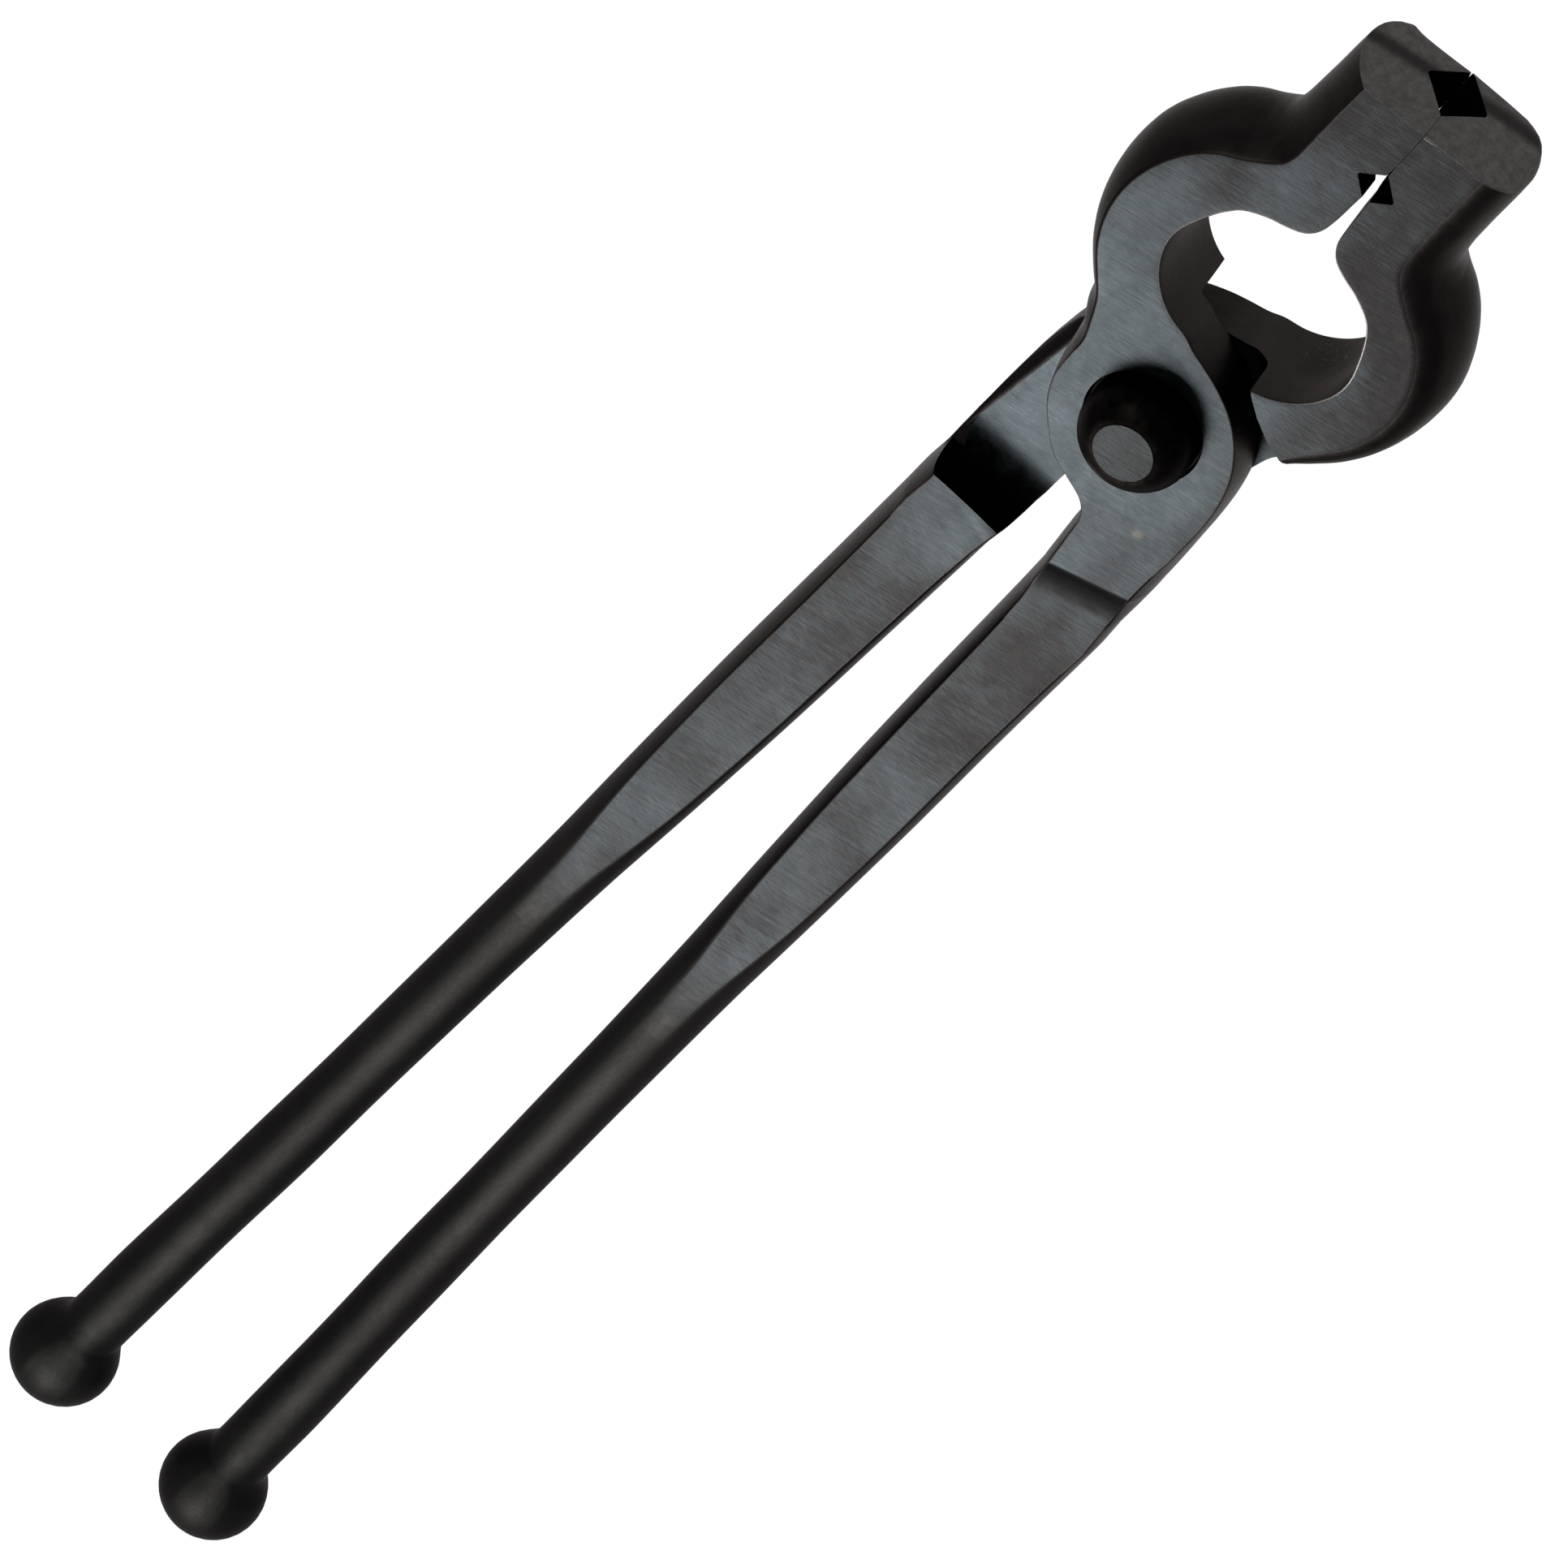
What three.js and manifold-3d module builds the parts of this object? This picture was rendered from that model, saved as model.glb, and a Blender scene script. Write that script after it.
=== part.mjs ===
// Bow-jawed fencing pliers: two forged levers that lap at the joint and turn on one rivet.
// Millimetres. The origin is on the pivot axis, on the flat of the rivet's back end.
// +X runs to the jaw tips, +Z is the rivet's axis towards its domed front head.
// The front lever has its jaw on +Y and its handle on -Y; the back lever is the other way round.
import * as THREE from "three";
import { mergeVertices } from "three/addons/utils/BufferGeometryUtils.js";
import Module from "manifold-3d";

const wasm = await Module();
wasm.setup();

// The joint and the plates that are forged round it.
const HALF_THICKNESS = 9.1;
const RIVET_PROUD = 0.6;
const LAP_HEIGHT = RIVET_PROUD + HALF_THICKNESS;
const LAP_GAP = 0.15;
const BOSS_RADIUS = 14.6;
const RECESS_RADIUS = 18.3;
const RECESS_SHOULDER = [
  [0, 0],
  [20, 0],
  [20, 7.2],
  [17.4, 7.8],
  [13.9, 11.9],
  [11.8, 16.8],
  [11.2, 22],
  [-6, 22],
];
const PLATE_END_X = -30;

// The bow of each jaw, as two arcs about one centre.
const EYE_CENTRE = new THREE.Vector2(30.7, 3);
const EYE_RADIUS = 13.2;
const BOW_RADIUS = 26.3;
const BOW_BULGE = 3.4;
const BULGE_STARTS_X = 2;
const BULGE_FULL_X = 15;

// The gripping block at the tip of each jaw.
const TIP_X = 75.5;
const BLOCK_START_X = 49;
const BLOCK_WIDTH = 15.8;
const BLOCK_SIDE_RADIUS = 12.8;
const BLOCK_END_ROUND = 3.2;
const BLOCK_OVERLAP = 3;
const GRIP_DEPTH = 5.4;
const GRIP_HALF_HEIGHT = 6.4;
const GRIP_OFFSET_TO_BACK = 2;
const NOTCH_X = 60.3;
const NOTCH_DEPTH = 3.3;
const NOTCH_HALF_WIDTH = 3.15;

// The handles: a flat-sided bar that becomes a round rod and ends in a ball.
const HANDLE_Y_AT_PIVOT = -10.1;
const HANDLE_SPREAD = 0.0153;
const HANDLE_STATIONS = [
  // x, half width, half thickness, squareness (2 is round)
  [-24, 5.6, 9.1, 6],
  [-28, 6.1, 9.1, 6],
  [-30.5, 6.6, 8.0, 6],
  [-34, 6.9, 7.5, 6],
  [-60, 6.9, 7.2, 5.5],
  [-94, 6.5, 6.5, 4.5],
  [-118, 6.0, 5.8, 3.5],
  [-142, 5.3, 5.1, 2.3],
  [-166, 5.0, 4.95, 2],
  [-200, 4.85, 4.85, 2],
  [-256, 4.9, 4.9, 2],
  [-265.5, 4.6, 4.6, 2],
  [-271, 4.6, 4.6, 2],
];
const STEP_X = -33.5;
const STEP_FILLET = 5.6;
const BALL_X = -271.6;
const BALL_RADIUS = 8;
const BALL_OUTWARD = 0.2;

// The rivet and its seats.
const SHANK_RADIUS = 6;
const RUNNING_GAP = 0.2;
const HEAD_RADIUS = 8.75;
const HEAD_HEIGHT = 7.3;
const HEAD_SEAT_RADIUS = 9.3;
const HEAD_SEAT_DEPTH = 1;
const SEAT_GAP = 0.3;
const TAIL_RADIUS = 8.2;
const TAIL_FLAT_RADIUS = 7.7;
const TAIL_CONE_DEPTH = 2.4;

const ROUND_SEGMENTS = 48;
const CUT_MARGIN = 5;
const FAR = 90;

const GROUND_STEEL = { color: 0x2b3033, roughness: 0.45, metalness: 0.8 };
const RIVET_STEEL = { color: 0x1f2022, roughness: 0.5, metalness: 0.8 };

// ---------- solids ----------

function solidOf(geometry) {
  const bare = new THREE.BufferGeometry();
  bare.setAttribute("position", geometry.getAttribute("position"));
  bare.setIndex(geometry.index);
  const merged = mergeVertices(bare, 1e-4);
  return new wasm.Manifold(
    new wasm.Mesh({
      numProp: 3,
      vertProperties: merged.getAttribute("position").array,
      triVerts: new Uint32Array(merged.index.array),
    }),
  );
}

function geometryOf(solid) {
  const mesh = solid.getMesh();
  const geometry = new THREE.BufferGeometry();
  geometry.setAttribute("position", new THREE.BufferAttribute(mesh.vertProperties, 3));
  geometry.setIndex(new THREE.BufferAttribute(mesh.triVerts, 1));
  geometry.computeVertexNormals();
  return geometry;
}

// A closed solid through rings of equal point count, each ring anticlockwise seen from the last one's side.
function solidThroughRings(rings, flatRing) {
  const count = flatRing.length;
  const points = rings.flat();
  const index = [];
  for (let ring = 0; ring < rings.length - 1; ring += 1) {
    for (let i = 0; i < count; i += 1) {
      const here = ring * count + i;
      const next = ring * count + ((i + 1) % count);
      index.push(here, next, next + count, here, next + count, here + count);
    }
  }
  const last = (rings.length - 1) * count;
  for (const [a, b, c] of THREE.ShapeUtils.triangulateShape(flatRing, [])) {
    index.push(a, c, b, last + a, last + b, last + c);
  }
  const geometry = new THREE.BufferGeometry().setFromPoints(points);
  geometry.setIndex(index);
  return solidOf(geometry);
}

function prism(points, depth) {
  return new THREE.ExtrudeGeometry(new THREE.Shape(points), { depth, bevelEnabled: false });
}

function uprightCylinder(topRadius, bottomRadius, height, bottomZ) {
  const geometry = new THREE.CylinderGeometry(topRadius, bottomRadius, height, ROUND_SEGMENTS);
  geometry.rotateX(Math.PI / 2);
  geometry.translate(0, 0, bottomZ + height / 2);
  return solidOf(geometry);
}

// ---------- outlines ----------

function arc(centre, radius, fromDegrees, toDegrees, steps) {
  const turn = THREE.MathUtils.degToRad(toDegrees - fromDegrees);
  const start = THREE.MathUtils.degToRad(fromDegrees);
  return Array.from({ length: steps + 1 }, (_, i) => {
    const angle = start + (turn * i) / steps;
    return new THREE.Vector2(Math.cos(angle), Math.sin(angle)).multiplyScalar(radius).add(centre);
  });
}

function curve(pairs, steps) {
  return new THREE.SplineCurve(pairs.map(([x, y]) => new THREE.Vector2(x, y))).getPoints(steps);
}

// The widest outline of the joint and the bow, on the lap plane, anticlockwise.
function plateOutline() {
  const pivot = new THREE.Vector2(0, 0);
  const outerShank = curve([[PLATE_END_X, -15.9], [-18, -16.4], [-7.5, -16.3], [0.5, -15.2]], 8);
  const bossFront = curve([[5.3, -13.3], [9.3, -10.6], [12.3, -7.3], [14.4, -3.6], [15.6, -0.4]], 8);
  const eyeWall = arc(EYE_CENTRE, EYE_RADIUS, 178, 62, 16);
  const lip = curve([[41.3, 12.2], [44, 8.6], [45.2, 4.6], [48.3, 2.1], [BLOCK_START_X + 6, 2.1]], 12);
  const bow = arc(EYE_CENTRE, BOW_RADIUS, 29, 139, 18);
  const neck = curve([[7.2, 16.9], [3.4, 14.9]], 1);
  const bossBack = arc(pivot, BOSS_RADIUS, 90, 148, 6);
  const crotch = curve([[-14.6, 5.6], [-16.3, 2.4], [-17.7, -0.8], [-20.4, -2.3], [PLATE_END_X, -3.9]], 9);
  return [outerShank, bossFront, eyeWall, lip, bow, neck, bossBack, crotch].flat();
}

// How far the hammered outer side of the bow stands out beyond the ground faces.
function bulgeAt(point) {
  const outside = point.distanceTo(EYE_CENTRE) > (EYE_RADIUS + BOW_RADIUS) / 2 && point.y > BOSS_RADIUS;
  return outside ? BOW_BULGE * THREE.MathUtils.smoothstep(point.x, BULGE_STARTS_X, BULGE_FULL_X) : 0;
}

function superellipse(halfWidth, halfThickness, squareness, steps) {
  const corner = (value) => Math.sign(value) * Math.abs(value) ** (2 / squareness);
  return Array.from({ length: steps }, (_, i) => {
    const angle = (2 * Math.PI * i) / steps;
    return new THREE.Vector2(
      halfWidth * corner(Math.cos(angle)),
      halfThickness * corner(Math.sin(angle)),
    );
  });
}

// ---------- the forging of a lever, with its lap plane at z = 0, jaw on +Y, handle on -Y ----------

function jointAndBow() {
  const outline = plateOutline();
  const layers = [-1, -0.6, 0, 0.6, 1].map((level) =>
    outline.map((point) => {
      const outwards = point.clone().sub(EYE_CENTRE).normalize();
      const inset = point.clone().addScaledVector(outwards, -bulgeAt(point) * level ** 2);
      return new THREE.Vector3(inset.x, inset.y, level * HALF_THICKNESS);
    }),
  );
  return solidThroughRings(layers, outline);
}

// The block that grips: straight on its ground faces, barrelled outside, rolled over at the tip's back edge.
function grippingBlock(back) {
  const sideCentre = new THREE.Vector2(BLOCK_WIDTH - BLOCK_SIDE_RADIUS, 0);
  const halfAngle = THREE.MathUtils.radToDeg(Math.asin(HALF_THICKNESS / BLOCK_SIDE_RADIUS));
  const side = arc(sideCentre, BLOCK_SIDE_RADIUS, -halfAngle, halfAngle, 12);
  const inner = [HALF_THICKNESS, -HALF_THICKNESS].map((z) => new THREE.Vector2(-BLOCK_OVERLAP, z));
  const section = [...side, ...inner];
  const rings = [[BLOCK_START_X, 0]];
  for (let i = 0; i <= 4; i += 1) {
    const turn = (Math.PI / 2) * (i / 4);
    rings.push([TIP_X - BLOCK_END_ROUND * (1 - Math.sin(turn)), BLOCK_END_ROUND * (1 - Math.cos(turn))]);
  }
  return solidThroughRings(
    rings.map(([x, inset]) =>
      section.map((point) => {
        const rolled = point.clone();
        if (point.x > 0) rolled.x -= inset;
        if (point.y * back > 0) rolled.y -= (inset * point.y) / HALF_THICKNESS;
        return new THREE.Vector3(x, rolled.x, rolled.y);
      }),
    ),
    section,
  );
}

function handle() {
  const steps = 24;
  const rings = HANDLE_STATIONS.map(([x, halfWidth, halfThickness, squareness]) => {
    const centreY = HANDLE_Y_AT_PIVOT + HANDLE_SPREAD * x;
    return superellipse(halfWidth, halfThickness, squareness, steps).map(
      (point) => new THREE.Vector3(x, centreY + point.x, point.y),
    );
  }).reverse();
  return solidThroughRings(rings, superellipse(1, 1, 2, steps));
}

function ball() {
  const geometry = new THREE.SphereGeometry(BALL_RADIUS, 28, 18);
  geometry.rotateZ(Math.PI / 2);
  geometry.translate(BALL_X, HANDLE_Y_AT_PIVOT + HANDLE_SPREAD * BALL_X - BALL_OUTWARD, 0);
  return solidOf(geometry);
}

// ---------- what is cut from the forging ----------

// The half of the joint that the other lever takes up, below the lap plane.
function lapCut() {
  const depth = HALF_THICKNESS + CUT_MARGIN;
  const recess = uprightCylinder(RECESS_RADIUS, RECESS_RADIUS, depth, LAP_GAP - depth);
  const filletCentre = new THREE.Vector2(STEP_X + STEP_FILLET, LAP_GAP - STEP_FILLET);
  const profile = [
    ...arc(filletCentre, STEP_FILLET, 90, 180, 8),
    new THREE.Vector2(STEP_X, LAP_GAP - depth),
    new THREE.Vector2(0, LAP_GAP - depth),
    new THREE.Vector2(0, LAP_GAP),
  ];
  const step = prism(profile, 2 * RECESS_RADIUS);
  step.rotateX(Math.PI / 2);
  step.translate(0, RECESS_RADIUS, 0);
  const shoulder = prism(RECESS_SHOULDER.map(([x, y]) => new THREE.Vector2(x, y)), depth);
  shoulder.translate(0, 0, LAP_GAP - depth);
  return recess.add(solidOf(step)).add(solidOf(shoulder));
}

// Everything beyond the face that meets the other jaw, with the cross-wise notch for wire.
function matingCut() {
  const start = BLOCK_START_X - CUT_MARGIN;
  const face = prism(
    [
      new THREE.Vector2(start, -2 * BLOCK_OVERLAP),
      new THREE.Vector2(FAR, -2 * BLOCK_OVERLAP),
      new THREE.Vector2(FAR, 0.8),
      new THREE.Vector2(TIP_X, 0.8),
      new THREE.Vector2(66.5, 0.2),
      new THREE.Vector2(64, 0.2),
      new THREE.Vector2(50.5, 1.3),
      new THREE.Vector2(48.3, 2.1),
      new THREE.Vector2(start, 4.5),
    ],
    2 * FAR,
  );
  const notch = prism(
    [
      new THREE.Vector2(NOTCH_X - 2 * NOTCH_HALF_WIDTH, -NOTCH_DEPTH),
      new THREE.Vector2(NOTCH_X + 2 * NOTCH_HALF_WIDTH, -NOTCH_DEPTH),
      new THREE.Vector2(NOTCH_X, NOTCH_DEPTH),
    ],
    2 * FAR,
  );
  face.translate(0, 0, -FAR);
  notch.translate(0, 0, -FAR);
  return solidOf(face).add(solidOf(notch));
}

// Half of the diamond hole that runs from the tip to the eye.
function gripCut(back) {
  const centre = back * GRIP_OFFSET_TO_BACK;
  const groove = prism(
    [
      new THREE.Vector2(-GRIP_DEPTH, centre + 2 * GRIP_HALF_HEIGHT),
      new THREE.Vector2(-GRIP_DEPTH, centre - 2 * GRIP_HALF_HEIGHT),
      new THREE.Vector2(GRIP_DEPTH, centre),
    ],
    FAR,
  );
  groove.applyMatrix4(
    new THREE.Matrix4().makeBasis(
      new THREE.Vector3(0, 1, 0),
      new THREE.Vector3(0, 0, 1),
      new THREE.Vector3(1, 0, 0),
    ),
  );
  groove.translate(EYE_CENTRE.x, 0, 0);
  return solidOf(groove);
}

function bore() {
  return uprightCylinder(SHANK_RADIUS + RUNNING_GAP, SHANK_RADIUS + RUNNING_GAP, FAR, -FAR / 2);
}

function headSeat() {
  const bottom = HALF_THICKNESS - HEAD_SEAT_DEPTH;
  return uprightCylinder(HEAD_SEAT_RADIUS, HEAD_SEAT_RADIUS, HEAD_SEAT_DEPTH + CUT_MARGIN, bottom);
}

function tailSeat() {
  const gap = SEAT_GAP;
  const height = TAIL_CONE_DEPTH + gap;
  const cone = uprightCylinder(TAIL_RADIUS + gap, SHANK_RADIUS + RUNNING_GAP, height, HALF_THICKNESS - height);
  return cone.add(uprightCylinder(TAIL_RADIUS + gap, TAIL_RADIUS + gap, CUT_MARGIN, HALF_THICKNESS));
}

// ---------- the three pieces ----------

// back is the side of the lap plane, in the lever's own frame, that faces the tool's back.
function lever(back, seat) {
  return jointAndBow()
    .add(grippingBlock(back))
    .subtract(matingCut())
    .subtract(gripCut(back))
    .add(handle())
    .add(ball())
    .subtract(lapCut())
    .subtract(bore())
    .subtract(seat);
}

function frontLever() {
  const mesh = new THREE.Mesh(
    geometryOf(lever(-1, headSeat())),
    new THREE.MeshStandardMaterial(GROUND_STEEL),
  );
  mesh.name = "front_lever";
  mesh.position.z = LAP_HEIGHT;
  return mesh;
}

function backLever() {
  const mesh = new THREE.Mesh(
    geometryOf(lever(1, tailSeat())),
    new THREE.MeshStandardMaterial(GROUND_STEEL),
  );
  mesh.name = "back_lever";
  mesh.position.z = LAP_HEIGHT;
  mesh.rotation.x = Math.PI;
  return mesh;
}

function pivotRivet() {
  const frontFace = LAP_HEIGHT + HALF_THICKNESS;
  const underHead = frontFace - HEAD_SEAT_DEPTH + SEAT_GAP;
  const domeEnd = THREE.MathUtils.radToDeg(Math.asin(HEAD_HEIGHT / HEAD_RADIUS));
  const dome = arc(new THREE.Vector2(0, frontFace), HEAD_RADIUS, 0, domeEnd, 8);
  const profile = [
    new THREE.Vector2(0, 0),
    new THREE.Vector2(TAIL_FLAT_RADIUS, 0),
    new THREE.Vector2(TAIL_RADIUS, RIVET_PROUD),
    new THREE.Vector2(SHANK_RADIUS, RIVET_PROUD + TAIL_CONE_DEPTH),
    new THREE.Vector2(SHANK_RADIUS, underHead),
    new THREE.Vector2(HEAD_RADIUS, underHead),
    ...dome,
    new THREE.Vector2(0, frontFace + HEAD_HEIGHT),
  ];
  const geometry = new THREE.LatheGeometry(profile, ROUND_SEGMENTS);
  geometry.rotateX(Math.PI / 2);
  const mesh = new THREE.Mesh(
    geometryOf(solidOf(geometry)),
    new THREE.MeshStandardMaterial(RIVET_STEEL),
  );
  mesh.name = "pivot_rivet";
  return mesh;
}

const pliers = new THREE.Group();
pliers.add(frontLever(), backLever(), pivotRivet());

export default pliers;
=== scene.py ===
"""Fencing pliers: two blackened forged levers with ground faces, on one domed rivet."""

import math

import bmesh
import bpy
import numpy as np
from mathutils import Matrix, Vector


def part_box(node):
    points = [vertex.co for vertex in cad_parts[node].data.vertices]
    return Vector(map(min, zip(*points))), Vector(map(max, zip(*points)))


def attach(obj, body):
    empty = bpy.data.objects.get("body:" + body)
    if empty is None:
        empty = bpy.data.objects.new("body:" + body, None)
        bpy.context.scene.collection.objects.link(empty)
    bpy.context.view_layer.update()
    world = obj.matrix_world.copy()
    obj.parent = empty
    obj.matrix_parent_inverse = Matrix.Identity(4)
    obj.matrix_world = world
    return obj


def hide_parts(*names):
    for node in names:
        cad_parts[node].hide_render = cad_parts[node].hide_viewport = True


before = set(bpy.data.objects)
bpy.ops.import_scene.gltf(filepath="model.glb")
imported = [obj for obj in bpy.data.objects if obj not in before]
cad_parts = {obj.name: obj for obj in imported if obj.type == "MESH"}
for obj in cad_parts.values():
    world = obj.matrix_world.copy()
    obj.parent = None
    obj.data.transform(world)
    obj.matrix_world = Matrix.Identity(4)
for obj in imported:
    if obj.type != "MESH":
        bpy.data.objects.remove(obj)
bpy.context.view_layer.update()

# ---------- driving sizes, in millimetres, in a lever's own frame ----------
# The lap plane is z = 0, the jaw is on +Y and the handle on -Y. The back lever is turned over about X.

MM = 0.001
LEVER_LOW, LEVER_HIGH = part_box("front_lever")
HALF = (LEVER_HIGH.z - LEVER_LOW.z) / MM / 2
LAP_Z = (LEVER_HIGH.z + LEVER_LOW.z) / MM / 2
TIP_X = LEVER_HIGH.x / MM
END_LENGTH = 5.0
END_START_X = TIP_X - END_LENGTH
ROLL_ROOM = 3.3
BALL_RADIUS = 8.0
BALL_OUTWARD = 0.2
BALL_X = LEVER_LOW.x / MM + BALL_RADIUS

EYE = np.array([30.7, 3.0])
EYE_RADIUS = 13.2
BOW_FLAT_RADIUS = 23.0
BOW_RADIUS = 26.3
RECESS_RADIUS = 18.3
LAP_GAP = 0.15
BACK_RECESS_FILLET = 3.5
FRONT_RECESS_FILLET = 0.6
SHOULDER = np.array([
    [19.3, -1.5], [19.3, 4.6], [18.6, 6.7], [17.3, 8.0], [15.2, 10.6],
    [13.4, 13.6], [12.1, 17.2], [11.4, 24.0], [-6.0, 24.0], [-6.0, -24.0],
])
STEP_X = -33.5
STEP_FILLET = (8.4, 6.6)
STEP_NEAR_X = -3.5
BEVEL_AT = (-14, -15.7)
BEVEL_TURN = 0.094

HANDLE_Y = -10.1
HANDLE_SPREAD = 0.0153
ROD_RADIUS = 4.85
ROUND_EDGE = 0.423
NECK_ANGLE = 128
NECK_FILL = 0.9
FLATS_FROM_X = -150

GRIP_DEPTH = 5.4
GRIP_HALF_HEIGHT = 6.0
GRIP_TO_BACK = 1.7
GRIP_FROM_X = 42.0
NOTCH_X = 60.8
NOTCH_DEPTH = 3.5
NOTCH_FLAT = 0.22

RIVET_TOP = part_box("pivot_rivet")[1].z / MM
FRONT_Z = LAP_Z + HALF
HEAD_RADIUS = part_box("pivot_rivet")[1].x / MM
SEAT_RADIUS = HEAD_RADIUS + 0.45
TAIL_SEAT_RADIUS = 8.2
SHANK_RADIUS = 6.0
SHANK_CLEARANCE = 0.12
SEAT_CHAMFER = 0.12
RIVET_FLAT_RADIUS = 5.0

EDGE_ROUND = 0.28
TIP_EDGE_ROUND = 0.1
TIP_GAP = 0.02
FLAT_STEPS = 8
SIDE_STEPS = 12
FORGED, GROUND, LAP, END = 0, 1, 2, 3


# ---------- meshes ----------

def mesh_object(name, verts, faces, slots):
    mesh = bpy.data.meshes.new(name)
    mesh.from_pydata([tuple(v) for v in np.asarray(verts) * MM], [], [tuple(f) for f in faces])
    mesh.polygons.foreach_set("material_index", slots)
    mesh.update()
    thing = bpy.data.objects.new(name, mesh)
    bpy.context.scene.collection.objects.link(thing)
    return thing


def apply_modifiers(thing):
    graph = bpy.context.evaluated_depsgraph_get()
    made = bpy.data.meshes.new_from_object(thing.evaluated_get(graph))
    thing.modifiers.clear()
    old = thing.data
    thing.data = made
    bpy.data.meshes.remove(old)


def boolean(thing, other, operation):
    change = thing.modifiers.new("cut", "BOOLEAN")
    change.operation = operation
    change.solver = "EXACT"
    change.material_mode = "INDEX"
    change.object = other
    apply_modifiers(thing)
    bpy.data.objects.remove(other)


def arc(centre, radius, start, end, steps):
    angles = np.radians(np.linspace(start, end, steps + 1))
    return np.array(centre) + radius * np.column_stack([np.cos(angles), np.sin(angles)])


def prism(name, outline, low, high, axis="Z", slot=FORGED):
    """A closed prism: the outline lies in XY for axis Z, in XZ for axis Y, and in YZ for axis X.

    low and high are measured along +Z, -Y and +X.
    """
    outline = np.asarray(outline, float)
    x, y = outline[:, 0], outline[:, 1]
    if np.sum(x * np.roll(y, -1) - np.roll(x, -1) * y) < 0:
        outline = outline[::-1]
    count = len(outline)
    place = {
        "Z": lambda p, h: (p[0], p[1], h),
        "Y": lambda p, h: (p[0], -h, p[1]),
        "X": lambda p, h: (h, p[0], p[1]),
    }[axis]
    verts = [place(p, h) for h in (low, high) for p in outline]
    faces = [tuple(range(count))[::-1], tuple(range(count, 2 * count))]
    faces += [(i, (i + 1) % count, count + (i + 1) % count, count + i) for i in range(count)]
    return mesh_object(name, verts, faces, [slot] * len(faces))


def stack(name, rings, slot):
    """A closed solid through rings of (outline, height), bottom to top, all with as many points."""
    count = len(rings[0][0])
    verts = [(x, y, height) for outline, height in rings for x, y in outline]
    faces = [tuple(range(count))[::-1], tuple(range(len(verts) - count, len(verts)))]
    for r in range(len(rings) - 1):
        a, b = r * count, (r + 1) * count
        faces += [(a + i, a + (i + 1) % count, b + (i + 1) % count, b + i) for i in range(count)]
    return mesh_object(name, verts, faces, [slot] * len(faces))


def lathe(name, profile, steps, slots):
    """A solid turned about Z, from a profile of (radius, height) that starts and ends on the axis.

    The slots give each strip's material, from the bottom of the profile up.
    """
    angles = np.linspace(0, 2 * math.pi, steps, endpoint=False)
    inner = profile[1:-1]
    verts = [(0, 0, profile[0][1])]
    verts += [(r * math.cos(a), r * math.sin(a), h) for r, h in inner for a in angles]
    verts.append((0, 0, profile[-1][1]))
    top = len(verts) - 1
    faces, marks = [], []
    for j in range(steps):
        k = (j + 1) % steps
        faces.append((0, 1 + k, 1 + j))
        marks.append(0)
        for i in range(len(inner) - 1):
            a, b = 1 + i * steps, 1 + (i + 1) * steps
            faces.append((a + j, a + k, b + k, b + j))
            marks.append(i + 1)
        last = 1 + (len(inner) - 1) * steps
        faces.append((last + j, last + k, top))
        marks.append(len(inner))
    return mesh_object(name, verts, faces, [slots[m] for m in marks])


# ---------- the forging: sections strung between a left and a right edge ----------

def smooth_through(keys, spacing):
    """Catmull-Rom through rows of keys, with rows about spacing apart along the edges."""
    keys = np.asarray(keys, float)
    padded = np.vstack([2 * keys[0] - keys[1], keys, 2 * keys[-1] - keys[-2]])
    out = []
    for i in range(len(keys) - 1):
        p0, p1, p2, p3 = padded[i:i + 4]
        count = max(2, math.ceil(np.linalg.norm((p2 - p1)[:8].reshape(4, 2), axis=1).max() / spacing))
        for t in np.arange(count) / count:
            out.append(0.5 * (2 * p1 + (p2 - p0) * t + (2 * p0 - 5 * p1 + 4 * p2 - p3) * t**2
                              + (3 * p1 - p0 - 3 * p2 + p3) * t**3))
    out.append(keys[-1])
    return np.array(out)


# Each station: left flat edge x y, left widest x y, right flat edge x y, right widest x y,
# height of the flat, crown of the flat, roundness of the sides (1 is a full quarter round).

def rod_station(x, radius, outward=0.0):
    y = HANDLE_Y + HANDLE_SPREAD * x - outward
    edge = ROUND_EDGE * radius
    height = radius * math.sqrt(1 - ROUND_EDGE**2)
    return [x, y + edge, x, y + radius, x, y - edge, x, y - radius, height, radius - height, 0.906]


def bar_station(x, half_flat, half_width, height, crown, roundness, shift=0.0):
    y = HANDLE_Y + HANDLE_SPREAD * x + shift
    return [x, y + half_flat, x, y + half_width, x, y - half_flat, x, y - half_width,
            height, crown, roundness]


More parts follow.
